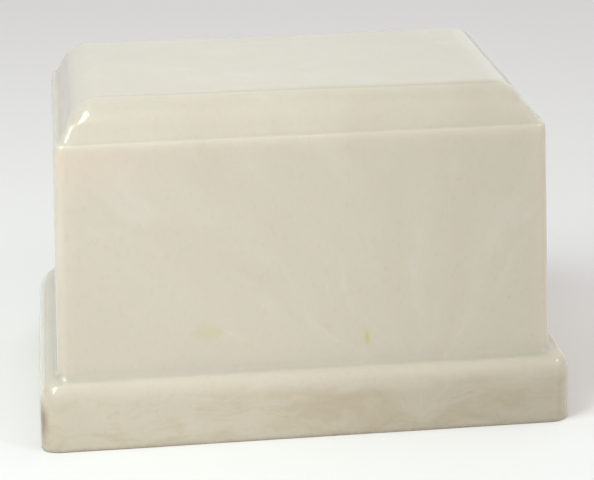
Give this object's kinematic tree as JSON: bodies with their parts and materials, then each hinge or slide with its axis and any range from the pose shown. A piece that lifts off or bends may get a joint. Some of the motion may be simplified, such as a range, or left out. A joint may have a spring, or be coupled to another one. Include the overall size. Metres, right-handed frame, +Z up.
{
  "type": "cremation urn",
  "caption": "Rectangular cast marble cremation urn: plinth, tapering walls, narrow ledge and quarter-round moulding up to a flat top, hollow, closed below by a plate.",
  "frame": {"origin": "middle of the footprint, on the surface that the urn stands on", "axes": "+X along the front to the right, +Y from the front to the back, +Z up"},
  "size_m": [0.25, 0.173, 0.16],
  "materials": {
    "cast_marble": "gloss",
    "plain_marble": "satin"
  },
  "bodies": {
    "root": {"urn_body": "cast_marble", "bottom_plate": "plain_marble"}
  },
  "joints": []
}
